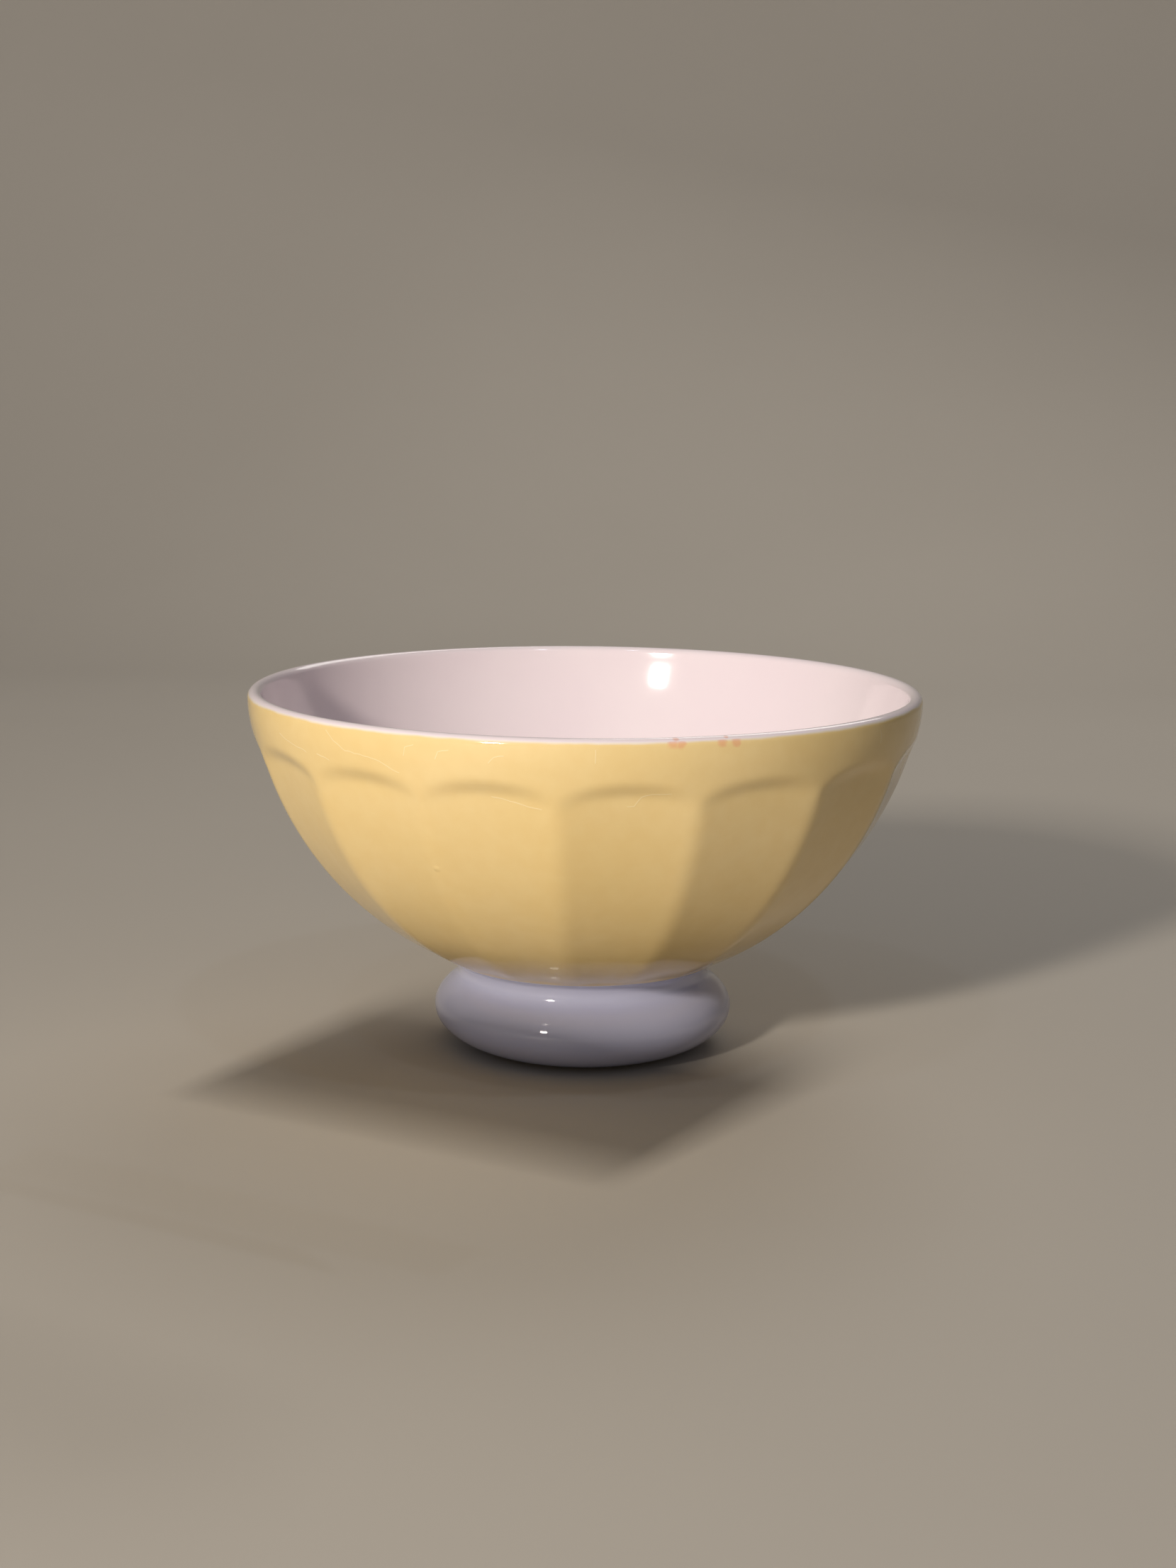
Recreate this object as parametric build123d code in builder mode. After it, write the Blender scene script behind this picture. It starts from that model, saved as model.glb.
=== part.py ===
"""A footed coffee bowl with pressed panels: earthenware, stuck-on ring foot and four glaze coats.

The frame is +Z up, with the origin on the table at the centre of the foot. Lengths are in
millimetres. The wall is one smooth outline of tangent arcs, turned about Z. Every glazed
surface is that outline, and the clay lies one glaze thickness inside it.
"""
import os
from math import asin, atan2, cos, degrees, radians, sin, sqrt, tan

from build123d import *

# Bowl, over the glaze
rim_diameter = 150.0
bowl_height = 82.0
lip_thickness = 3.2
floor_thickness = 5.5
underside_height = 14.3  # lowest point of the round belly, inside the foot
shoulder_radius = 25.8  # the arc that brings the belly upright below the lip

# Pressed panels
panel_count = 16
band_height = 13.3  # smooth band, from the lip's top down to where two panels meet on a ridge
arch_rise = 4.6  # height of the arch that closes a panel
arch_softness = 3.0  # radius where a panel turns out into its arch

# Foot, over the glaze
foot_radius = 33.8
foot_round_width = 16.7  # half width of the foot's rounded section
foot_round_height = 9.35  # half height of the same section
foot_round_centre = 9.1  # height of its centre above the table
neck_start_angle = 43.0  # where the hollow neck leaves the rounded section
neck_top_radius = 29.5  # where the neck runs out under the belly
neck_hollow = 1.2  # how far the neck is scooped in
recess_base_radius = 17.0  # inner edge of the standing ring
recess_top_radius = 15.0

# Coats and joint
glaze_thickness = 0.35
slip_thickness = 0.5
glaze_line_radius = 31.0  # yellow stops and white begins, under the belly
lip_line_angle = 39.0  # yellow stops on the lip, above its outermost point
bare_height = 0.8  # glaze is wiped off below this, round the standing ring

rim_radius = rim_diameter / 2
lip_radius = lip_thickness / 2
half_pitch = 180.0 / panel_count
panel_angles = [half_pitch * (2 * index + 1) for index in range(panel_count)]
panel_ratio = cos(radians(half_pitch))  # middle of a flat panel against its ridges

# The lip is a round bead. The shoulder arc has its centre level with the bead's.
lip_x = rim_radius - lip_radius
lip_z = bowl_height - lip_radius
shoulder_x = rim_radius - shoulder_radius
panel_top_height = bowl_height - band_height
arch_top_height = panel_top_height + arch_rise

# The belly is a sphere that touches the shoulder arc and the underside height.
belly_low = underside_height + shoulder_radius
belly_z = (shoulder_x**2 + lip_z**2 - belly_low**2) / (2 * (lip_z - belly_low))
belly_radius = belly_z - underside_height
belly_angle = degrees(atan2(lip_z - belly_z, shoulder_x))

# The inside is a sphere that touches the bead and the floor.
floor_height = underside_height + floor_thickness
inner_low = floor_height - lip_radius
inner_z = (lip_x**2 + lip_z**2 - inner_low**2) / (2 * (lip_z - inner_low))
inner_radius = inner_z - floor_height
inner_angle = degrees(atan2(lip_z - inner_z, lip_x))

# The cut between the yellow coat and the rest runs inside the clay, below the panels, and
# inside the centre of the lip's bead.
panel_depth = rim_radius * (1 - panel_ratio)
bead_depth = belly_radius - sqrt(lip_x**2 + (belly_z - lip_z) ** 2)
coat_cut_depth = max(panel_depth + 2 * glaze_thickness + 0.3, bead_depth + 0.2)

foot_round_x = foot_radius - foot_round_width
foot_base_angle = -degrees(asin(foot_round_centre / foot_round_height))


def belly_point(radius, inset=0.0):
    """Point of the round belly at a distance from the axis, on the glaze or below it."""
    return (radius, belly_z - sqrt((belly_radius - inset) ** 2 - radius**2))


def belly_reach(height, inset=0.0):
    """Distance of the round belly from the axis at a height."""
    return sqrt((belly_radius - inset) ** 2 - (belly_z - height) ** 2)


def round_blank(inset):
    """The wall's section turned about Z, before its panels are pressed."""
    with BuildPart() as blank:
        with BuildSketch(Plane.XZ):
            with BuildLine():
                belly = CenterArc((0, belly_z), belly_radius - inset, -90, 90 + belly_angle)
                CenterArc((shoulder_x, lip_z), shoulder_radius - inset, belly_angle, -belly_angle)
                CenterArc((lip_x, lip_z), lip_radius - inset, 0, 180 + inner_angle)
                inside = CenterArc((0, inner_z), inner_radius + inset, -90, 90 + inner_angle)
                Line(inside @ 0, belly @ 0)
            make_face()
        revolve(axis=Axis.Z)
    return blank.part


def panel_cutter(inset):
    """What one panel takes off: flat across, curved up the wall, with a ramp at its top."""
    start = belly_point(glaze_line_radius, inset)
    middle_height = (start[1] + panel_top_height) / 2
    middle = (panel_ratio * belly_reach(middle_height, inset), middle_height)
    top = (panel_ratio * belly_reach(panel_top_height, inset), panel_top_height)
    crown = (belly_reach(arch_top_height, inset), arch_top_height)
    beyond = (2 * crown[0] - top[0], 2 * crown[1] - top[1])
    outside = 1.2 * rim_radius
    with BuildPart() as cutter:
        with BuildSketch(Plane.XZ) as outline:
            with BuildLine():
                ThreePointArc(start, middle, top)
                Polyline(top, beyond, (outside, beyond[1]), (outside, 0), (start[0], 0), start)
            make_face()
            bend = outline.vertices().sort_by_distance(Vector(top[0], top[1], 0))[0]
            fillet(bend, radius=arch_softness + inset)
        extrude(amount=1.2 * rim_radius * tan(radians(half_pitch)), both=True)
    return cutter.part


def foot_outline(inset):
    """Section of the foot, from the recess wall to its outside, up into the belly."""
    round_width = foot_round_width - inset
    angle = radians(neck_start_angle)
    neck_low = (
        foot_round_x + round_width * cos(angle),
        foot_round_centre + foot_round_height * sin(angle),
    )
    neck_high = belly_point(neck_top_radius - inset, inset)
    recess_top = belly_point(recess_top_radius)
    with BuildSketch() as outline:
        with BuildLine():
            rounded = EllipticalCenterArc(
                (foot_round_x, foot_round_centre),
                round_width,
                foot_round_height,
                start_angle=foot_base_angle,
                arc_size=neck_start_angle - foot_base_angle,
            )
            SagittaArc(neck_low, neck_high, neck_hollow)
            Polyline(
                neck_high,
                (neck_high[0], neck_high[1] + slip_thickness),
                (recess_top[0], neck_high[1] + slip_thickness),
                recess_top,
                (recess_base_radius, 0),
                rounded @ 0,
            )
        make_face()
        with Locations((0, belly_z)):
            Circle(belly_radius - inset, mode=Mode.SUBTRACT)
    return outline.sketch


with BuildPart() as bowl_body:
    add(round_blank(glaze_thickness))
    body_cutter = panel_cutter(glaze_thickness)
    for panel_angle in panel_angles:
        with Locations(Rotation(0, 0, panel_angle)):
            add(body_cutter, mode=Mode.SUBTRACT)
bowl_body.part.label = "bowl_body"

with BuildPart() as outside_glaze:
    with BuildSketch(Plane.XZ):
        with BuildLine():
            line_point = belly_point(glaze_line_radius)
            line_angle = -90 + degrees(atan2(line_point[0], belly_z - line_point[1]))
            coat_belly = CenterArc((0, belly_z), belly_radius, line_angle, belly_angle - line_angle)
            CenterArc((shoulder_x, lip_z), shoulder_radius, belly_angle, -belly_angle)
            coat_lip = CenterArc((lip_x, lip_z), lip_radius, 0, lip_line_angle)
            cut_radius = belly_radius - coat_cut_depth
            cut_start = belly_point(glaze_line_radius, coat_cut_depth)
            cut_angle = -90 + degrees(atan2(cut_start[0], belly_z - cut_start[1]))
            lip_direction = degrees(atan2(lip_z - belly_z, lip_x))
            cut = CenterArc((0, belly_z), cut_radius, cut_angle, lip_direction - cut_angle)
            Polyline(coat_lip @ 1, (lip_x, lip_z), cut @ 1)
            Line(cut @ 0, coat_belly @ 0)
        make_face()
    revolve(axis=Axis.Z)
    coat_cutter = panel_cutter(0)
    for panel_angle in panel_angles:
        with Locations(Rotation(0, 0, panel_angle)):
            add(coat_cutter, mode=Mode.SUBTRACT)
    add(bowl_body.part, mode=Mode.SUBTRACT)
outside_glaze.part.label = "outside_glaze"

with BuildPart() as inside_glaze:
    with BuildSketch(Plane.XZ):
        with BuildLine():
            bead_sweep = 180 + inner_angle - lip_line_angle
            bead = CenterArc((lip_x, lip_z), lip_radius, lip_line_angle, bead_sweep)
            face = CenterArc((0, inner_z), inner_radius, -90, 90 + inner_angle)
            clay_bead_radius = lip_radius - glaze_thickness
            clay_bead = CenterArc((lip_x, lip_z), clay_bead_radius, lip_line_angle, bead_sweep)
            clay_radius = inner_radius + glaze_thickness
            clay_face = CenterArc((0, inner_z), clay_radius, -90, 90 + inner_angle)
            Line(face @ 0, clay_face @ 0)
            Line(bead @ 0, clay_bead @ 0)
        make_face()
    revolve(axis=Axis.Z)
inside_glaze.part.label = "inside_glaze"

with BuildPart() as foot_ring:
    with BuildSketch(Plane.XZ):
        add(foot_outline(glaze_thickness))
        with Locations((0, belly_z)):
            Circle(belly_radius - glaze_thickness + slip_thickness, mode=Mode.SUBTRACT)
    revolve(axis=Axis.Z)
foot_ring.part.label = "foot_ring"

with BuildPart() as slip_joint:
    with BuildSketch(Plane.XZ):
        add(foot_outline(glaze_thickness))
        with Locations((0, belly_z)):
            Circle(belly_radius - glaze_thickness + slip_thickness, mode=Mode.INTERSECT)
    revolve(axis=Axis.Z)
slip_joint.part.label = "slip_joint"

with BuildPart() as foot_glaze:
    with BuildSketch(Plane.XZ) as foot_coat:
        with Locations((0, belly_z)):
            Circle(belly_radius)
        with Locations((neck_top_radius - glaze_thickness, 0)):
            run_up = glaze_line_radius - neck_top_radius + glaze_thickness
            Rectangle(run_up, belly_z, align=Align.MIN, mode=Mode.INTERSECT)
        add(foot_outline(0))
        add(foot_outline(glaze_thickness), mode=Mode.SUBTRACT)
        with Locations((0, belly_z)):
            Circle(belly_radius - glaze_thickness, mode=Mode.SUBTRACT)
        Rectangle(2 * rim_radius, 2 * bare_height, mode=Mode.SUBTRACT)
    revolve(axis=Axis.Z)
foot_glaze.part.label = "foot_glaze"

with BuildPart() as recess_glaze:
    with BuildSketch(Plane.XZ):
        with BuildLine():
            wall_top = belly_point(recess_top_radius)
            above = wall_top[1] + 2 * glaze_thickness
            Polyline(
                (0, 0),
                (recess_base_radius, 0),
                wall_top,
                (recess_top_radius, above),
                (0, above),
                (0, 0),
            )
        make_face()
        with Locations((0, belly_z)):
            Circle(belly_radius - glaze_thickness, mode=Mode.SUBTRACT)
        with BuildSketch(mode=Mode.PRIVATE) as hollow:
            with BuildLine():
                Polyline(
                    (0, 0),
                    (recess_base_radius - glaze_thickness, 0),
                    (recess_top_radius - glaze_thickness, wall_top[1]),
                    (0, wall_top[1]),
                    (0, 0),
                )
            make_face()
            with Locations((0, belly_z)):
                Circle(belly_radius, mode=Mode.SUBTRACT)
        add(hollow.sketch, mode=Mode.SUBTRACT)
        Rectangle(2 * rim_radius, 2 * bare_height, mode=Mode.SUBTRACT)
    revolve(axis=Axis.Z)
recess_glaze.part.label = "recess_glaze"

os.makedirs("parts", exist_ok=True)
pieces = [
    bowl_body,
    foot_ring,
    slip_joint,
    outside_glaze,
    inside_glaze,
    foot_glaze,
    recess_glaze,
]
for piece in pieces:
    export_step(piece.part, f"parts/{piece.part.label}.step")
    print(piece.part.label, "volume", round(piece.part.volume), "mm3")
print("belly", round(belly_radius, 2), "centre", round(belly_z, 2))
print("inside", round(inner_radius, 2), "centre", round(inner_z, 2), "floor", round(floor_height, 2))
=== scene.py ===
# %% [markdown]
# # A footed bowl with pressed panels
#
# The real bowl is one fired ceramic: a clay bowl, a ring foot stuck on with slip, and four coats
# of glaze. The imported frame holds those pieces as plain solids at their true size. This lesson
# models the glazed surfaces again, softly, because glaze rounds every corner it flows over, and
# then gives each one its finish.

# %% Load the fixed frame
from math import asin, atan2, cos, degrees, hypot, pi, radians, sin, sqrt

import bmesh
import bpy
from mathutils import Matrix, Vector


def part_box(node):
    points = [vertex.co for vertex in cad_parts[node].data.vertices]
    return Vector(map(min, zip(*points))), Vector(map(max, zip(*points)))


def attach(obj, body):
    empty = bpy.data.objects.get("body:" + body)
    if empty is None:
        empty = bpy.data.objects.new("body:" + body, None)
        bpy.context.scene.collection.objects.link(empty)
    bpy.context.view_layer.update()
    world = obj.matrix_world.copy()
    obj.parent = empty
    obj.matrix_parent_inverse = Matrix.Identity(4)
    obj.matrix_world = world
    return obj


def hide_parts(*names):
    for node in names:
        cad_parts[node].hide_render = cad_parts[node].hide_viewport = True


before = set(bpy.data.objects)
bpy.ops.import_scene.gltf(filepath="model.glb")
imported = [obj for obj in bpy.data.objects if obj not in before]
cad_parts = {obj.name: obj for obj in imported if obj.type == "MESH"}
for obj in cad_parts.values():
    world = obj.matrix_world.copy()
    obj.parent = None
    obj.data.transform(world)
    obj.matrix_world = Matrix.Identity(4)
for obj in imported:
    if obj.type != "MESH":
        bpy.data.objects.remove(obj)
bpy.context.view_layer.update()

MM = 0.001
print("frame nodes:", sorted(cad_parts))

# %% [markdown]
# ## Sizes from the frame
#
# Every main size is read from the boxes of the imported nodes, so the looks follow the design.
# The wall's outline is a chain of arcs that touch each other: a round belly on the axis, a
# tighter shoulder that brings it upright, a bead at the lip, and a round inside. Two arcs touch
# when the distance between their centres is the sum or the difference of their radii, and that
# gives the centre of each.

# %% Read the main sizes
yellow_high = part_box("outside_glaze")[1]
white_low, white_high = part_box("inside_glaze")
clay_low, clay_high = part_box("bowl_body")
foot_low, foot_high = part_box("foot_glaze")
recess_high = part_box("recess_glaze")[1]

rim_radius = yellow_high.x
rim_height = white_high.z
glaze = rim_height - clay_high.z
underside = clay_low.z - glaze
floor_height = white_low.z + glaze
foot_radius = foot_high.x
bare_height = foot_low.z
print(f"rim {rim_radius / MM:.1f} mm, height {rim_height / MM:.1f} mm, glaze {glaze / MM:.2f} mm")

# %% Find the centres of the arcs
lip_radius = 1.6 * MM
shoulder_radius = 25.8 * MM
lip_x = rim_radius - lip_radius
lip_z = rim_height - lip_radius
shoulder_x = rim_radius - shoulder_radius
belly_low = underside + shoulder_radius
belly_z = (shoulder_x**2 + lip_z**2 - belly_low**2) / (2 * (lip_z - belly_low))
belly_radius = belly_z - underside
inner_low = floor_height - lip_radius
inner_z = (lip_x**2 + lip_z**2 - inner_low**2) / (2 * (lip_z - inner_low))
inner_radius = inner_z - floor_height
print(f"belly {belly_radius / MM:.1f} mm round, inside {inner_radius / MM:.1f} mm round")

# %% [markdown]
# ## Drawing outlines by swinging a point
#
# A turned piece is a flat outline swung about the Z axis. The outline itself can be drawn the
# same way: one point is swung about the centre of an arc, and the Spin operator leaves the arc
# behind it as edges. The last point stays selected, so the next arc carries on from there. It is
# how a turner's template is drawn with a compass, and the arcs stay exact.


# %% Helpers for outlines
def start_outline(name, x, z):
    """A new object with one point at (x, z) of the X-Z plane, left in edit mode."""
    if bpy.context.object and bpy.context.object.mode == "EDIT":
        bpy.ops.object.mode_set(mode="OBJECT")
    bpy.ops.object.select_all(action="DESELECT")
    bpy.ops.mesh.primitive_plane_add(size=MM, location=(0, 0, 0))
    piece = bpy.context.object
    piece.name = name
    piece.data.name = name
    bpy.ops.object.mode_set(mode="EDIT")
    bpy.ops.mesh.select_mode(type="VERT")
    bpy.ops.mesh.select_all(action="SELECT")
    bpy.ops.mesh.merge(type="CENTER")
    bpy.ops.transform.translate(value=(x, 0, z))
    return piece


def last_point():
    """The selected point's place in the X-Z plane."""
    mesh = bmesh.from_edit_mesh(bpy.context.object.data)
    chosen = [v.co for v in mesh.verts if v.select]
    return chosen[-1].x, chosen[-1].z


def swing(x, z, turn, steps):
    """Swings the last point about (x, z), by turn degrees, anticlockwise seen from the front."""
    bpy.ops.mesh.spin(steps=steps, angle=radians(turn), center=(x, 0, z), axis=(0, 1, 0))


def line_to(x, z):
    """Draws a straight run from the last point."""
    here = last_point()
    step = (x - here[0], 0, z - here[1])
    bpy.ops.mesh.extrude_region_move(TRANSFORM_OT_translate={"value": step})


def direction(x, z, centre_x, centre_z):
    """Angle of a point seen from a centre, in degrees above +X."""
    return degrees(atan2(z - centre_z, x - centre_x))


def swing_to(x, z, centre_x, centre_z, steps):
    """Swings the last point about a centre until it lies in the direction of (x, z)."""
    here = last_point()
    turn = direction(x, z, centre_x, centre_z) - direction(*here, centre_x, centre_z)
    swing(centre_x, centre_z, (turn + 180) % 360 - 180, steps)


# %% [markdown]
# ## From outline to coat
#
# The whole outline is then spun once round Z. The seam is merged, the faces are made to point
# outwards, and Solidify gives the coat its wall, towards the clay. Solidify is better here than a
# closed outline, because it keeps the coat evenly thick where the wall has been pressed.


# %% Helpers for turned coats
def turn_round(steps):
    """Spins the whole outline about Z and closes the seam and the pole."""
    bpy.ops.mesh.select_all(action="SELECT")
    bpy.ops.mesh.spin(steps=steps, angle=2 * pi, center=(0, 0, 0), axis=(0, 0, 1))
    bpy.ops.mesh.select_all(action="SELECT")
    bpy.ops.mesh.remove_doubles(threshold=0.001 * MM)


def face_outwards(piece, outward):
    """Turns the whole surface if most of its area faces against outward(centre of a face)."""
    bpy.ops.object.mode_set(mode="OBJECT")
    faces = piece.data.polygons
    agreement = sum(face.area * face.normal.dot(outward(face.center)) for face in faces)
    if agreement < 0:
        piece.data.flip_normals()


def add_wall(piece, thickness):
    """Gives an open surface its wall, on the side its faces turn away from."""
    wall = piece.modifiers.new("wall", "SOLIDIFY")
    wall.thickness = thickness
    wall.offset = -1
    wall.use_even_offset = True
    bpy.context.view_layer.objects.active = piece
    bpy.ops.object.modifier_apply(modifier=wall.name)
    bpy.ops.object.select_all(action="DESELECT")
    piece.select_set(True)
    bpy.ops.object.shade_smooth_by_angle(angle=radians(50))
    print(piece.name, "has", len(piece.data.polygons), "faces")


# %% [markdown]
# ## The yellow outside
#
# The outside starts as a plain turned wall, from the glaze line under the belly up to the
# shoulder of the lip. Sixteen flats are then pressed into it. On the real bowl a flat is pressed
# in the mould: straight across, curved up the wall, and turned out at its top, which is what
# draws the arch. No single operator presses a flat with soft edges, so after the spin each point
# is moved towards the axis in code. A smooth minimum of two distances makes each ridge melt into
# its neighbour instead of meeting in a crease. The pressing dies out upwards at the edge of half
# an ellipse, which is the arch, and downwards just above the glaze line.

# %% Choose the panels' sizes
PANELS = 16
WALL_STEPS = PANELS * 24  # round the wall
pitch = 2 * pi / PANELS
arch_foot = rim_height - 12.7 * MM  # where two arches meet on a ridge
arch_crown = rim_height - 8.4 * MM  # top of an arch
arch_slope = 4.0 * MM  # height over which the pressing dies out at the arch
ridge_softness = 0.8 * MM
glaze_line = 31.0 * MM  # distance from the axis where the yellow begins, under the belly
lip_line_angle = 39.0  # where the yellow ends on the lip's bead, above its outermost point
run_out = 2.5 * MM  # distance over which the pressing dies out above the glaze line


def belly_height(reach):
    """Height of the round belly at a distance from the axis."""
    return belly_z - sqrt(belly_radius**2 - reach**2)


# %% Turn the outside wall
yellow = start_outline("yellow_outside_glaze", glaze_line, belly_height(glaze_line))
swing_to(shoulder_x, lip_z, 0, belly_z, 84)
swing_to(rim_radius, lip_z, shoulder_x, lip_z, 12)
swing(lip_x, lip_z, lip_line_angle, 5)
turn_round(WALL_STEPS)
face_outwards(yellow, lambda centre: Vector((centre.x, centre.y, 0)))
print("outside wall:", len(yellow.data.vertices), "points")


# %% Press the panels
def soft_min(a, b, softness):
    """The smaller of two lengths, blended where they are nearly equal."""
    near = max(softness - abs(a - b), 0.0) / softness
    return min(a, b) - near * near * softness / 4


def smooth_step(value):
    """0 below 0, 1 above 1, and a soft S between them."""
    value = min(max(value, 0.0), 1.0)
    return value * value * (3 - 2 * value)


def press_panels(piece):
    """Moves each point of the wall in to the nearest press faces, up to the arches."""
    for vertex in piece.data.vertices:
        reach = hypot(vertex.co.x, vertex.co.y)
        around = atan2(vertex.co.y, vertex.co.x) % pitch - pitch / 2
        face = reach * cos(pitch / 2)
        own = face / cos(around)
        beside = face / cos(pitch - abs(around))
        depth = reach - soft_min(own, beside, ridge_softness)
        level = sqrt(max(1 - (2 * around / pitch) ** 2, 0.0))
        arch = arch_foot + (arch_crown - arch_foot) * level
        depth *= smooth_step((arch - vertex.co.z) / arch_slope)
        depth *= smooth_step((reach - glaze_line) / run_out)
        vertex.co.x *= 1 - depth / reach
        vertex.co.y *= 1 - depth / reach


press_panels(yellow)
add_wall(yellow, glaze)

# %% [markdown]
# ## The white inside
#
# The inside is smooth: one round sweep from the middle of the floor to the lip, and over the
# lip's bead to the line where the yellow begins.

# %% Turn the inside
white = start_outline("white_inside_glaze", 0, floor_height)
swing_to(lip_x, lip_z, 0, inner_z, 72)
here = last_point()
swing(lip_x, lip_z, lip_line_angle - direction(*here, lip_x, lip_z), 16)
turn_round(WALL_STEPS)
face_outwards(white, lambda centre: Vector((-centre.x, -centre.y, inner_z - centre.z)))
add_wall(white, glaze)

# %% [markdown]
# ## The white foot
#
# The foot's section is a rounded cushion: a circle drawn with the compass and then squashed.
# A hollow neck joins it to the belly. The two corners of the neck are smoothed, because thick
# glaze fills them. The coat starts above the wiped standing ring and runs up to the yellow.

# %% Choose the foot's sizes
cushion_width = 16.7 * MM
cushion_height = 9.35 * MM
cushion_z = 9.1 * MM
cushion_x = foot_radius - cushion_width
neck_angle = 43.0
neck_top = 29.5 * MM
neck_hollow = 1.2 * MM


def smooth_corner(x, z, size, repeats):
    """Smooths the outline's points that lie near a corner."""
    mesh = bmesh.from_edit_mesh(bpy.context.object.data)
    for vertex in mesh.verts:
        near = hypot(vertex.co.x - x, vertex.co.z - z) < size
        vertex.select = near and len(vertex.link_edges) > 1
    mesh.select_flush_mode()
    bpy.ops.mesh.vertices_smooth(factor=0.5, repeat=repeats)


def select_end(x, z):
    """Selects the outline's one point nearest to (x, z)."""
    mesh = bmesh.from_edit_mesh(bpy.context.object.data)
    nearest = min(mesh.verts, key=lambda v: hypot(v.co.x - x, v.co.z - z))
    for vertex in mesh.verts:
        vertex.select = vertex == nearest
    mesh.select_flush_mode()


# %% Draw and turn the foot
start_turn = -degrees(asin((cushion_z - bare_height) / cushion_height))
start_x = cushion_x + cushion_width * cos(radians(start_turn))
start_z = cushion_width * sin(radians(start_turn))
foot = start_outline("white_foot_glaze", start_x, start_z)
swing(cushion_x, 0, neck_angle - start_turn, 40)
bpy.ops.mesh.select_all(action="SELECT")
bpy.ops.transform.resize(value=(1, 1, cushion_height / cushion_width), center_override=(0, 0, 0))
bpy.ops.transform.translate(value=(0, 0, cushion_z))
neck_x = cushion_x + cushion_width * cos(radians(neck_angle))
neck_z = cushion_z + cushion_height * sin(radians(neck_angle))
select_end(neck_x, neck_z)
high_z = belly_height(neck_top)
chord = hypot(neck_top - neck_x, high_z - neck_z)
hollow_radius = (chord**2 / 4 + neck_hollow**2) / (2 * neck_hollow)
out = ((high_z - neck_z) / chord, (neck_x - neck_top) / chord)
hollow_x = (neck_x + neck_top) / 2 + (hollow_radius - neck_hollow) * out[0]
hollow_z = (neck_z + high_z) / 2 + (hollow_radius - neck_hollow) * out[1]
swing_to(neck_top, high_z, hollow_x, hollow_z, 14)
swing_to(glaze_line, belly_height(glaze_line), 0, belly_z, 4)
smooth_corner(neck_x, neck_z, 0.9 * MM, 6)
smooth_corner(neck_top, high_z, 0.6 * MM, 6)
turn_round(PANELS * 16)
face_outwards(foot, lambda centre: Vector((centre.x, centre.y, 0)))
add_wall(foot, glaze)

# %% [markdown]
# ## The recess under the foot
#
# The recess shows only when the bowl is turned over: the round bottom of the belly, and a short
# sloping wall down to the wiped ring.

# %% Turn the recess
recess_base = recess_high.x
recess_top = 15.0 * MM
top_z = belly_height(recess_top)
recess = start_outline("white_recess_glaze", 0, underside)
swing_to(recess_top, top_z, 0, belly_z, 14)
for part in range(1, 11):
    share = part / 10
    line_to(recess_top + (recess_base - recess_top) * share, top_z + (bare_height - top_z) * share)
smooth_corner(recess_top, top_z, 1.6 * MM, 6)
turn_round(PANELS * 8)
face_outwards(recess, lambda centre: Vector((-centre.x, -centre.y, -belly_z)))
add_wall(recess, glaze)

# %% [markdown]
# ## Tying the coats to the frame
#
# Each coat stands in for its plain CAD solid and rides on the one body. The clay bowl, the slip
# and the foot ring stay as they are in the frame, and only get a finish.

# %% Ride on the body and replace the CAD solids
for piece, node, finish in (
    (yellow, "outside_glaze", "yellow_glaze"),
    (white, "inside_glaze", "white_glaze"),
    (foot, "foot_glaze", "white_glaze"),
    (recess, "recess_glaze", "white_glaze"),
):
    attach(piece, "root")
    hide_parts(node)
    print(piece.name, "stands for", node)

# %% [markdown]
# ## Building blocks for the finishes
#
# A finish is a tree of nodes. A few small helpers make nodes and groups, so that each recipe
# stays readable: a value that is a socket is linked, and any other value is typed in.


# %% Helpers for nodes
def put(tree, kind, wires=None, **settings):
    """Adds a node, with its settings, its typed values and its links."""
    node = tree.nodes.new(kind)
    for name, value in settings.items():
        setattr(node, name, value)
    for name, value in (wires or {}).items():
        socket = node.inputs[name]
        if isinstance(value, bpy.types.NodeSocket):
            tree.links.new(value, socket)
        else:
            socket.default_value = value
    return node


def maths(tree, operation, *values, clamp=False):
    """A Math node, and its one output."""
    node = put(tree, "ShaderNodeMath", dict(enumerate(values)), operation=operation)
    node.use_clamp = clamp
    return node.outputs[0]


def ramp(tree, value, low, high, to_low=0.0, to_high=1.0):
    """Maps a value smoothly from one range to another."""
    wires = {"Value": value, "From Min": low, "From Max": high}
    wires.update({"To Min": to_low, "To Max": to_high})
    node = put(tree, "ShaderNodeMapRange", wires, interpolation_type="SMOOTHSTEP")
    return node.outputs["Result"]


def blend_colour(tree, amount, below, above, how="MIX"):
    """Mixes two colours and gives the mixed one."""
    node = tree.nodes.new("ShaderNodeMix")
    node.data_type = "RGBA"
    node.blend_type = how
    for index, value in ((0, amount), (6, below), (7, above)):
        if isinstance(value, bpy.types.NodeSocket):
            tree.links.new(value, node.inputs[index])
        else:
            node.inputs[index].default_value = value
    return node.outputs[2]


def new_group(name, takes, gives):
    """An empty node group with named inputs (name: default) and outputs (name: kind)."""
    tree = bpy.data.node_groups.new(name, "ShaderNodeTree")
    for label, default in takes.items():
        kind = "NodeSocketVector" if isinstance(default, tuple) else "NodeSocketFloat"
        socket = tree.interface.new_socket(name=label, in_out="INPUT", socket_type=kind)
        socket.default_value = default
    for label, kind in gives.items():
        tree.interface.new_socket(name=label, in_out="OUTPUT", socket_type=kind)
    inside = tree.nodes.new("NodeGroupInput").outputs
    outside = tree.nodes.new("NodeGroupOutput").inputs
    return tree, inside, outside


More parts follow.
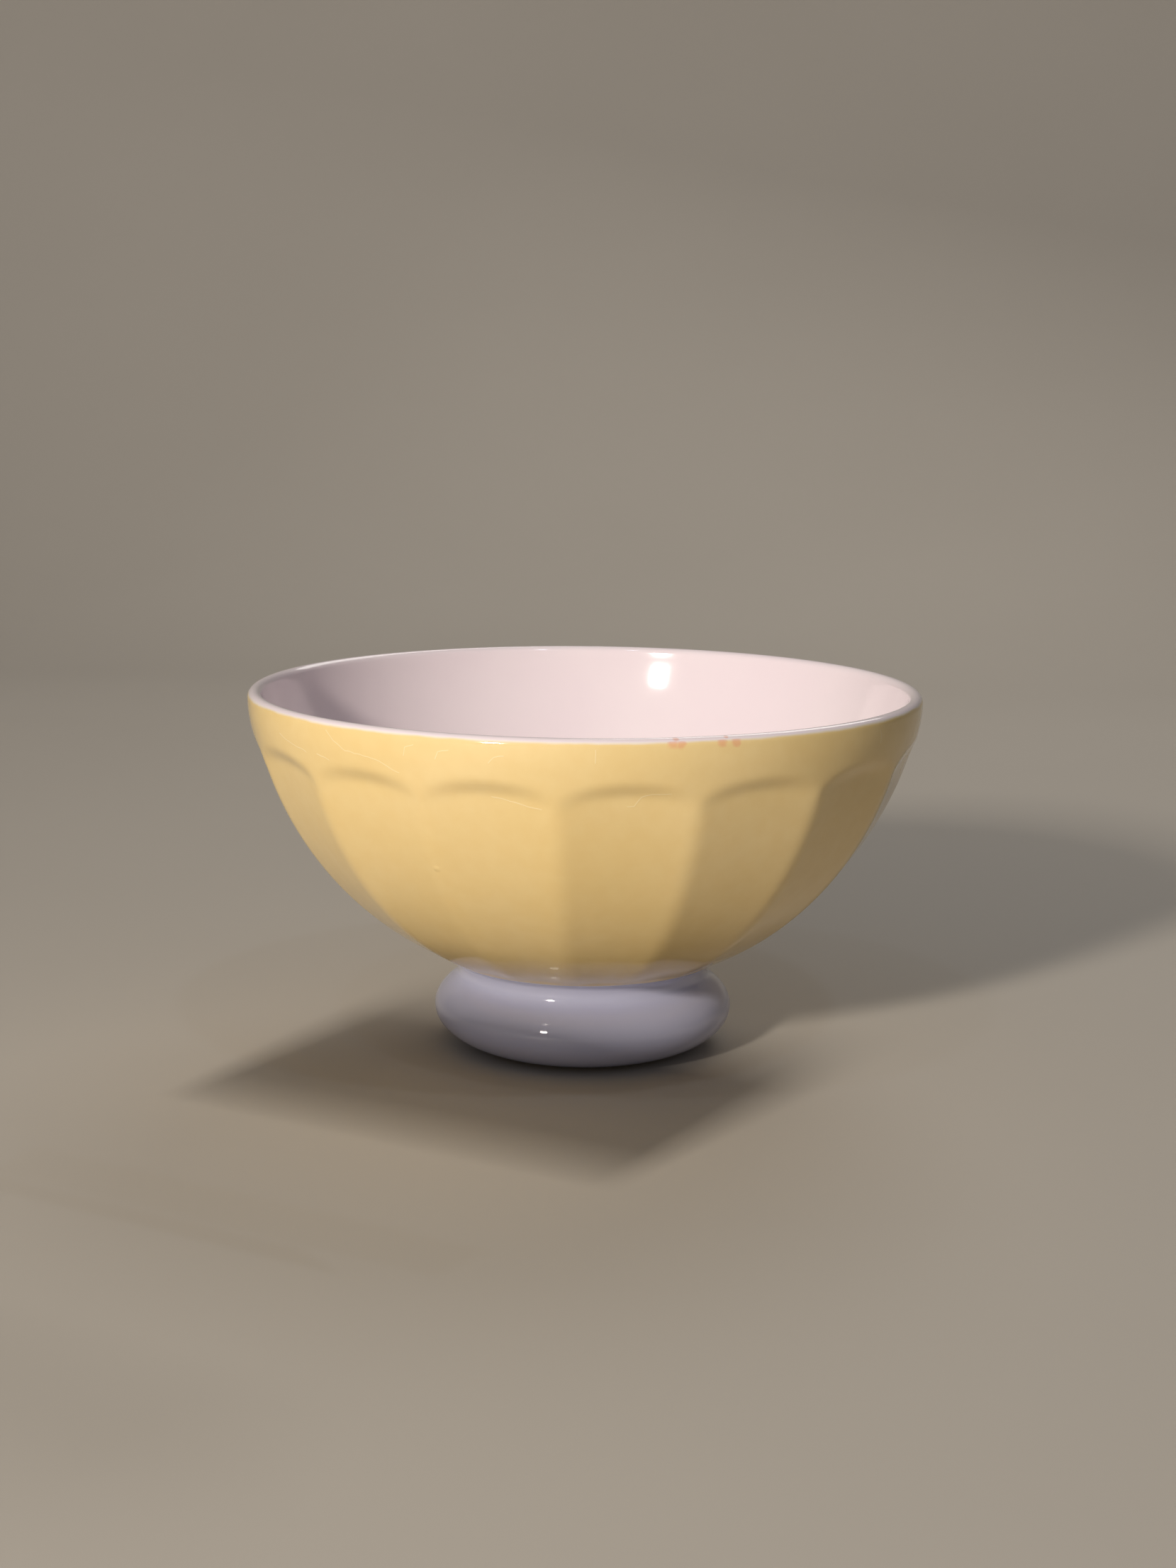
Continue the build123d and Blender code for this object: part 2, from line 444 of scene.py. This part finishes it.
def use_group(tree, group, **values):
    """Places a group in a tree, with its own values, and gives its outputs."""
    node = tree.nodes.new("ShaderNodeGroup")
    node.node_tree = group
    for name, value in values.items():
        socket = node.inputs[name.replace("_", " ").capitalize()]
        if isinstance(value, bpy.types.NodeSocket):
            tree.links.new(value, socket)
        else:
            socket.default_value = value
    return node.outputs


def colour(red, green, blue):
    """A colour as a swatch book gives it, 0 to 255, in the light values that nodes use."""
    def light(part):
        part /= 255
        return part / 12.92 if part <= 0.04045 else ((part + 0.055) / 1.055) ** 2.4
    return (light(red), light(green), light(blue), 1.0)


# %% [markdown]
# ## Effects that several finishes share
#
# Glaze is never quite even. It is a little cloudy where it lies thicker, its surface is faintly
# wavy, and it has pinholes where gas left it in the kiln. Each effect is one group, placed in
# every finish with its own strength.

# %% Clouds
clouds, cloud_in, cloud_out = new_group(
    "clouds", {"Scale": 20.0, "Sharpness": 0.2}, {"Mask": "NodeSocketFloat"}
)
place = put(clouds, "ShaderNodeTexCoord").outputs["Object"]
wires = {"Vector": place, "Scale": cloud_in["Scale"], "Detail": 4.0}
noise = put(clouds, "ShaderNodeTexNoise", wires).outputs["Fac"]
low = maths(clouds, "SUBTRACT", 0.5, cloud_in["Sharpness"])
high = maths(clouds, "ADD", 0.5, cloud_in["Sharpness"])
clouds.links.new(ramp(clouds, noise, low, high), cloud_out["Mask"])
print("group", clouds.name)

# %% Relief of a fired glaze
relief, relief_in, relief_out = new_group(
    "glaze_relief",
    {"Wave scale": 90.0, "Grain scale": 900.0, "Grain": 0.1},
    {"Height": "NodeSocketFloat"},
)
place = put(relief, "ShaderNodeTexCoord").outputs["Object"]
wires = {"Vector": place, "Scale": relief_in["Wave scale"], "Detail": 1.0}
wave = put(relief, "ShaderNodeTexNoise", wires)
wires = {"Vector": place, "Scale": relief_in["Grain scale"], "Detail": 2.0}
grain = put(relief, "ShaderNodeTexNoise", wires)
fine = maths(relief, "MULTIPLY", grain.outputs["Fac"], relief_in["Grain"])
relief.links.new(maths(relief, "ADD", wave.outputs["Fac"], fine), relief_out["Height"])
print("group", relief.name)

# %% Pinholes
pinholes, pin_in, pin_out = new_group(
    "pinholes", {"Scale": 220.0, "Size": 0.08, "Rarity": 0.9}, {"Mask": "NodeSocketFloat"}
)
place = put(pinholes, "ShaderNodeTexCoord").outputs["Object"]
cells = put(pinholes, "ShaderNodeTexVoronoi", {"Vector": place, "Scale": pin_in["Scale"]})
lot = put(pinholes, "ShaderNodeSeparateColor", {"Color": cells.outputs["Color"]}).outputs["Red"]
chosen = maths(pinholes, "GREATER_THAN", lot, pin_in["Rarity"])
core = maths(pinholes, "MULTIPLY", pin_in["Size"], 0.4)
hole = ramp(pinholes, cells.outputs["Distance"], core, pin_in["Size"], 1.0, 0.0)
pinholes.links.new(maths(pinholes, "MULTIPLY", chosen, hole), pin_out["Mask"])
print("group", pinholes.name)

# %% A single mark
mark, mark_in, mark_out = new_group(
    "mark", {"Place": (0.0, 0.0, 0.0), "Size": 0.002, "Wobble": 0.3}, {"Mask": "NodeSocketFloat"}
)
place = put(mark, "ShaderNodeTexCoord").outputs["Object"]
apart = put(mark, "ShaderNodeVectorMath", {0: place, 1: mark_in["Place"]}, operation="DISTANCE")
apart = apart.outputs["Value"]
wires = {"Vector": place, "Scale": 700.0, "Detail": 3.0}
ragged = put(mark, "ShaderNodeTexNoise", wires).outputs["Fac"]
ragged = maths(mark, "MULTIPLY", maths(mark, "SUBTRACT", ragged, 0.5), mark_in["Wobble"])
apart = maths(mark, "ADD", maths(mark, "DIVIDE", apart, mark_in["Size"]), ragged)
mark.links.new(ramp(mark, apart, 0.35, 1.0, 1.0, 0.0), mark_out["Mask"])
print("group", mark.name)

# %% A hair-thin line
hair, hair_in, hair_out = new_group(
    "hair",
    {"Turn": 0.0, "Height": 0.076, "To turn": 5.0, "To height": 0.077, "Width": 0.0002},
    {"Mask": "NodeSocketFloat"},
)


def on_map(turn, height):
    """A point of the wall laid out flat: the way round as X and the height as Y."""
    across = maths(hair, "MULTIPLY", turn, rim_radius)
    return put(hair, "ShaderNodeCombineXYZ", {0: across, 1: height}).outputs[0]


def vector_maths(operation, *values, gives="Vector"):
    """A Vector Math node of the hair group, and one of its outputs."""
    node = put(hair, "ShaderNodeVectorMath", dict(enumerate(values)), operation=operation)
    return node.outputs[gives]


hair_bend = 1.2 * MM
place = put(hair, "ShaderNodeTexCoord").outputs["Object"]
wires = {"Vector": place, "Scale": 260.0, "Detail": 1.0}
bent = put(hair, "ShaderNodeTexNoise", wires).outputs["Color"]
bent = vector_maths("SUBTRACT", bent, (0.5, 0.5, 0.5))
bent = vector_maths("MULTIPLY", bent, (hair_bend, hair_bend, hair_bend))
parts = put(hair, "ShaderNodeSeparateXYZ", {0: vector_maths("ADD", place, bent)}).outputs
turn = maths(hair, "ARCTAN2", parts["X"], maths(hair, "MULTIPLY", parts["Y"], -1.0))
here = on_map(turn, parts["Z"])
start = on_map(maths(hair, "RADIANS", hair_in["Turn"]), hair_in["Height"])
end = on_map(maths(hair, "RADIANS", hair_in["To turn"]), hair_in["To height"])
run = vector_maths("SUBTRACT", end, start)
gone = vector_maths("SUBTRACT", here, start)
share = maths(
    hair, "DIVIDE",
    vector_maths("DOT_PRODUCT", gone, run, gives="Value"),
    vector_maths("DOT_PRODUCT", run, run, gives="Value"),
    clamp=True,
)
scaled = put(hair, "ShaderNodeVectorMath", {0: run, "Scale": share}, operation="SCALE")
away = vector_maths("DISTANCE", gone, scaled.outputs["Vector"], gives="Value")
hair.links.new(ramp(hair, away, 0.0, hair_in["Width"], 1.0, 0.0), hair_out["Mask"])
print("group", hair.name)


# %% Start a finish
def new_finish(name, roughness):
    """A material, its tree and its Principled shader, with one roughness all over."""
    material = bpy.data.materials.new(name)
    material.use_nodes = True
    tree = material.node_tree
    shader = tree.nodes["Principled BSDF"]
    shader.inputs["Roughness"].default_value = roughness
    return material, tree, shader


def wear_finish(piece, material):
    """Puts one finish on a piece, in place of any it had."""
    piece.data.materials.clear()
    piece.data.materials.append(material)


# %% [markdown]
# ## Yellow glaze
#
# A glossy butter yellow. It is a shade deeper where it pooled, and fades to the white over about
# half a millimetre at the lip and at the neck. It has a few hair cracks, four small rusty spots
# by the lip, one pimple and some pinholes. Each kind of mark has its own mask over the colour.

# %% Mix the yellow
yellow_finish, tree, shader = new_finish("yellow_glaze_finish", 0.08)
cloudy = use_group(tree, clouds, scale=28.0, sharpness=0.25)["Mask"]
body = blend_colour(tree, cloudy, colour(240, 213, 155), colour(236, 207, 144))
mottle = use_group(tree, clouds, scale=260.0, sharpness=0.3)["Mask"]
body = blend_colour(tree, maths(tree, "MULTIPLY", mottle, 0.16), body, colour(226, 186, 116))
print("yellow body mixed")

# %% Fade the yellow at its two edges
place = put(tree, "ShaderNodeTexCoord").outputs["Object"]
parts = put(tree, "ShaderNodeSeparateXYZ", {0: place}).outputs
wires = {"Vector": place, "Scale": 110.0, "Detail": 3.0}
ragged = put(tree, "ShaderNodeTexNoise", wires).outputs["Fac"]
ragged = maths(tree, "MULTIPLY", maths(tree, "SUBTRACT", ragged, 0.5), 0.8 * MM)
lip_line = lip_z + lip_radius * sin(radians(lip_line_angle))
height = maths(tree, "ADD", parts["Z"], ragged)
near_lip = ramp(tree, height, lip_line - 0.55 * MM, lip_line + 0.05 * MM)
neck_line = belly_height(glaze_line)
near_neck = ramp(tree, height, neck_line, neck_line + 0.35 * MM, 1.0, 0.0)
faded = maths(tree, "MAXIMUM", near_lip, near_neck)
body = blend_colour(tree, faded, body, colour(240, 229, 218))
print("yellow ends at", round(lip_line / MM, 2), "and", round(neck_line / MM, 2), "mm")

# %% Lay the hair cracks
# Each chain is one crack: its points' turns round the axis, in degrees, and heights, in mm.
hair_width = 0.14 * MM
chains = (
    ((-40, 80), (-38.5, 78), (-36, 76.2), (-31, 76), (-25.5, 73.2)),
    ((-54, 77), (-49.5, 75.5), (-46, 74.5)),
    ((-43, 74.8), (-40, 73.8)),
    ((-24.5, 77), (-24.2, 78.6), (-22.5, 79.4)),
    ((-19, 76.8), (-18.4, 78.4), (-16.5, 78.7)),
    ((-10.5, 76.8), (-9.4, 78), (-8, 78.3)),
    ((-10.5, 69.7), (-7.2, 68.8), (-2.5, 67.3)),
    ((10.8, 68), (12, 68.1), (13.2, 69.8), (14.8, 70.6), (17.6, 70.7)),
    ((5.6, 80), (5.6, 77.3)),
    ((58.5, 79.5), (59, 76.8)),
)
hairs = None
for chain in chains:
    for (turn, high), (to_turn, to_high) in zip(chain, chain[1:]):
        start = {"turn": turn, "height": high * MM}
        end = {"to_turn": to_turn, "to_height": to_high * MM}
        one = use_group(tree, hair, **start, **end, width=hair_width)["Mask"]
        hairs = one if hairs is None else maths(tree, "MAXIMUM", hairs, one)
body = blend_colour(tree, maths(tree, "MULTIPLY", hairs, 0.5), body, colour(255, 240, 202))
print("hair cracks laid:", len(chains))


# %% Lay the rusty spots and the pinholes
def on_wall(turn, high, reach):
    """A point from its turn round the axis, its height and its distance from the axis."""
    return (reach * sin(radians(turn)), -reach * cos(radians(turn)), high)


rust_reach = rim_radius - 0.3 * MM
rust_spots = ((17.4, 81.0, 1.5), (18.6, 80.9, 1.3), (25.2, 80.9, 1.3), (27.4, 80.9, 1.4))
rust = None
for turn, high, size in rust_spots:
    spot = on_wall(turn, high * MM, rust_reach)
    one = use_group(tree, mark, place=spot, size=size * MM, wobble=0.9)["Mask"]
    rust = one if rust is None else maths(tree, "MAXIMUM", rust, one)
body = blend_colour(tree, maths(tree, "MULTIPLY", rust, 0.45), body, colour(232, 146, 118))
specks = use_group(tree, pinholes, scale=120.0, size=0.05, rarity=0.86)["Mask"]
body = blend_colour(tree, maths(tree, "MULTIPLY", specks, 0.7), body, colour(140, 100, 58))
tree.links.new(body, shader.inputs["Base Color"])
print("rusty spots laid:", len(rust_spots))

# %% Give the yellow its surface
pimple_place = on_wall(-22.6, 53 * MM, 65.2 * MM)
pimple = use_group(tree, mark, place=pimple_place, size=1.2 * MM, wobble=0.0)["Mask"]
skin = use_group(tree, relief, wave_scale=70.0, grain_scale=800.0, grain=0.04)["Height"]
skin = maths(tree, "ADD", skin, maths(tree, "MULTIPLY", pimple, 1.2))
skin = maths(tree, "ADD", skin, maths(tree, "MULTIPLY", hairs, 0.2))
skin = maths(tree, "SUBTRACT", skin, maths(tree, "MULTIPLY", specks, 0.5))
bumped = put(tree, "ShaderNodeBump", {"Height": skin, "Strength": 0.35, "Distance": 0.25 * MM})
tree.links.new(bumped.outputs["Normal"], shader.inputs["Normal"])
dull = use_group(tree, clouds, scale=60.0, sharpness=0.3)["Mask"]
gloss = maths(tree, "ADD", 0.06, maths(tree, "MULTIPLY", dull, 0.05))
tree.links.new(gloss, shader.inputs["Roughness"])
wear_finish(yellow, yellow_finish)
print("yellow glaze done")

# %% [markdown]
# ## White glaze
#
# The white is a soft milk white, faintly cloudy, with a few dark pinholes. The inside is a
# little pink and has two rusty marks by the lip. The foot and the recess get a darker, bluer
# copy of the white, which is painted shade. It is glossy like the yellow, so both whites come
# from one recipe with their own colours and marks.


# %% Mix the white
def white_glaze(name, first, second, marks):
    """One white finish. The inside is warmer than the foot, whose darker, bluer copy is painted
    shade.
    """
    material, tree, shader = new_finish(name, 0.08)
    cloudy = use_group(tree, clouds, scale=22.0, sharpness=0.25)["Mask"]
    body = blend_colour(tree, cloudy, first, second)
    for turn, high, reach, size in marks:
        one = use_group(tree, mark, place=on_wall(turn, high, reach), size=size, wobble=0.9)["Mask"]
        body = blend_colour(tree, maths(tree, "MULTIPLY", one, 0.5), body, colour(226, 150, 108))
    specks = use_group(tree, pinholes, scale=110.0, size=0.045, rarity=0.95)["Mask"]
    body = blend_colour(tree, maths(tree, "MULTIPLY", specks, 0.7), body, colour(140, 118, 98))
    tree.links.new(body, shader.inputs["Base Color"])
    skin = use_group(tree, relief, wave_scale=60.0, grain_scale=700.0, grain=0.04)["Height"]
    skin = maths(tree, "SUBTRACT", skin, maths(tree, "MULTIPLY", specks, 0.5))
    bumped = put(tree, "ShaderNodeBump", {"Height": skin, "Strength": 0.3, "Distance": 0.25 * MM})
    tree.links.new(bumped.outputs["Normal"], shader.inputs["Normal"])
    dull = use_group(tree, clouds, scale=50.0, sharpness=0.3)["Mask"]
    gloss = maths(tree, "ADD", 0.06, maths(tree, "MULTIPLY", dull, 0.05))
    tree.links.new(gloss, shader.inputs["Roughness"])
    print("finish", name)
    return material


inside_marks = (
    (17.9, 81.7 * MM, rim_radius - 1.0 * MM, 1.0 * MM),
    (26.0, 81.7 * MM, rim_radius - 1.0 * MM, 0.7 * MM),
)
warm_white = white_glaze(
    "white_inside_finish", colour(242, 229, 230), colour(238, 223, 226), inside_marks
)
# A darker, bluer copy of the white for the foot and the recess: painted shade.
painted_shade_white = white_glaze("white_foot_painted_shade_finish", colour(206, 206, 227), colour(199, 199, 222), ())
wear_finish(white, warm_white)
wear_finish(foot, painted_shade_white)
wear_finish(recess, painted_shade_white)

# %% [markdown]
# ## Bare clay and slip
#
# The clay shows only on the wiped standing ring: buff, cloudy, rough and gritty. Slip is the
# same clay as a paste, paler and with less grit.


# %% Mix the clay and the slip
def clay_finish(name, pale, deep, grit):
    """A dry fired clay, with cloudy colour, dark grit and a rough skin."""
    material, tree, shader = new_finish(name, 0.85)
    cloudy = use_group(tree, clouds, scale=45.0, sharpness=0.3)["Mask"]
    body = blend_colour(tree, cloudy, pale, deep)
    dots = use_group(tree, pinholes, scale=900.0, size=0.35, rarity=grit)["Mask"]
    body = blend_colour(tree, maths(tree, "MULTIPLY", dots, 0.6), body, colour(120, 92, 70))
    tree.links.new(body, shader.inputs["Base Color"])
    skin = use_group(tree, relief, wave_scale=300.0, grain_scale=2600.0, grain=0.8)["Height"]
    bumped = put(tree, "ShaderNodeBump", {"Height": skin, "Strength": 0.6, "Distance": 0.15 * MM})
    tree.links.new(bumped.outputs["Normal"], shader.inputs["Normal"])
    print("finish", name)
    return material


clay = clay_finish("bare_clay_finish", colour(214, 196, 170), colour(198, 176, 148), 0.8)
slip = clay_finish("slip_finish", colour(222, 208, 186), colour(210, 194, 170), 0.93)
wear_finish(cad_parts["bowl_body"], clay)
wear_finish(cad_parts["foot_ring"], clay)
wear_finish(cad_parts["slip_joint"], slip)

# %% [markdown]
# ## Floor, light and camera
#
# A pale sweep: one sheet that lies flat under the bowl and curves up behind it. A small warm
# key lamp stands in front on the left, a little above the bowl. Two weak cool lamps overhead put
# small highlights on the foot, a wide weak lamp lights the back, and the room's own light is
# brighter on the key lamp's side, so that the bowl turns from light to shade as it goes round.

# %% Make the sweep
sweep_size = 2.4
sweep_height = 2.0
curl_radius = 0.6
bpy.ops.object.select_all(action="DESELECT")
bpy.ops.mesh.primitive_plane_add(size=sweep_size, location=(0, 0, 0))
sweep = bpy.context.object
sweep.name = "pale_sweep"
bpy.ops.object.mode_set(mode="EDIT")
bpy.ops.mesh.select_all(action="DESELECT")
mesh = bmesh.from_edit_mesh(sweep.data)
for edge in mesh.edges:
    edge.select = all(vertex.co.y > 1 for vertex in edge.verts)
mesh.select_flush_mode()
mesh.select_flush(True)
bpy.ops.mesh.extrude_region_move(TRANSFORM_OT_translate={"value": (0, 0, sweep_height)})
bpy.ops.object.mode_set(mode="OBJECT")
curl = sweep.modifiers.new("curl", "BEVEL")
curl.width = curl_radius
curl.segments = 24
curl.limit_method = "ANGLE"
bpy.ops.object.modifier_apply(modifier=curl.name)
bpy.ops.object.shade_smooth()
sweep_finish, tree, shader = new_finish("sweep_finish", 0.7)
grey = use_group(tree, clouds, scale=3.0, sharpness=0.4)["Mask"]
paper = blend_colour(tree, grey, colour(186, 178, 166), colour(180, 172, 160))
tree.links.new(paper, shader.inputs["Base Color"])
wear_finish(sweep, sweep_finish)
print("sweep", sweep_size, "m wide")

# %% Set the lamps
view_turn = radians(4.06)  # the camera stands this far round from the ridge on -Y
key_turn = 30
aim_height = 0.05


def toward(turn, height):
    """Direction from the bowl: turned left of the camera, and raised, in degrees."""
    turn, height = radians(turn), radians(height)
    ahead = Vector((-sin(turn) * cos(height), -cos(turn) * cos(height), sin(height)))
    return Matrix.Rotation(view_turn, 3, "Z") @ ahead


def add_lamp(name, turn, height, distance, size, power, tint):
    """A soft rectangular lamp that faces the bowl."""
    data = bpy.data.lights.new(name, "AREA")
    data.shape = "RECTANGLE"
    data.size, data.size_y = size
    data.energy = power
    data.color = tint
    lamp = bpy.data.objects.new(name, data)
    bpy.context.scene.collection.objects.link(lamp)
    lamp.location = toward(turn, height) * distance + Vector((0, 0, aim_height))
    lamp.rotation_euler = toward(turn, height).to_track_quat("Z", "Y").to_euler()
    print(name, [round(part, 2) for part in lamp.location])


add_lamp("key_lamp", key_turn, 21, 1.4, (0.12, 0.15), 17.2, (1.0, 0.93, 0.84))
add_lamp("left_top_lamp", 28, 62, 1.5, (0.07, 0.05), 0.5, (0.62, 0.76, 1.0))
add_lamp("right_top_lamp", -26, 62, 1.5, (0.07, 0.05), 0.8, (0.66, 0.80, 1.0))
add_lamp("back_lamp", 200, 42, 0.95, (0.5, 0.4), 1.8, (1.0, 0.97, 0.93))

# %% Set the room's light
dim, bright = 0.02, 0.25
room = bpy.data.worlds.new("room")
bpy.context.scene.world = room
room.use_nodes = True
tree = room.node_tree
around = put(tree, "ShaderNodeTexCoord").outputs["Generated"]
bright_side = toward(22, 12)
facing = put(tree, "ShaderNodeVectorMath", {0: around, 1: bright_side}, operation="DOT_PRODUCT")
level = ramp(tree, facing.outputs["Value"], -0.5, 0.95, dim, bright)
sky = tree.nodes["Background"]
sky.inputs["Color"].default_value = (0.93, 0.94, 1.0, 1.0)
tree.links.new(level, sky.inputs["Strength"])
bpy.context.scene.view_settings.view_transform = "Standard"
print("room light from", dim, "to", bright)

# %% [markdown]
# ## A card that shades the foot
#
# On the table the foot is in shade, while the key lamp reaches the wall above it. A small card
# that floats between the two does this, as it would in a studio. It casts a shadow, but the
# camera, the reflections and the bounced light don't see it.

# %% Stand the card between the key lamp and the foot
card_width = 0.10
card_height = 0.034
card_distance = 0.15
card_middle = 0.051
bpy.ops.object.select_all(action="DESELECT")
bpy.ops.mesh.primitive_plane_add(size=1, location=(0, 0, 0))
card = bpy.context.object
card.name = "shade_card"
card_toward = toward(key_turn, 0)
bpy.ops.transform.resize(value=(card_width, card_height, 1), center_override=(0, 0, 0))
card.rotation_euler = card_toward.to_track_quat("Z", "Y").to_euler()
card.location = card_toward * card_distance + Vector((0, 0, card_middle))
bpy.ops.object.transform_apply(location=True, rotation=True, scale=True)
card.visible_camera = card.visible_glossy = card.visible_diffuse = False
wear_finish(card, sweep_finish)
print("card", card_width, "m wide")

# %% Set the camera
distance = 0.52302
camera_height = 0.1549
sideways = 0.00079
nod = 0.1801
roll = 0.0094
camera_data = bpy.data.cameras.new("camera")
camera_data.lens = 54.08
camera_data.sensor_width = 36.0
camera = bpy.data.objects.new("camera", camera_data)
bpy.context.scene.collection.objects.link(camera)
x = sideways * cos(view_turn) + distance * sin(view_turn)
y = sideways * sin(view_turn) - distance * cos(view_turn)
turned = Matrix.Rotation(view_turn, 4, "Z") @ Matrix.Rotation(pi / 2 - nod, 4, "X")
turned = turned @ Matrix.Rotation(roll, 4, "Z")
camera.matrix_world = Matrix.Translation((x, y, camera_height)) @ turned
bpy.context.scene.camera = camera
print("camera at", [round(part, 4) for part in camera.location])
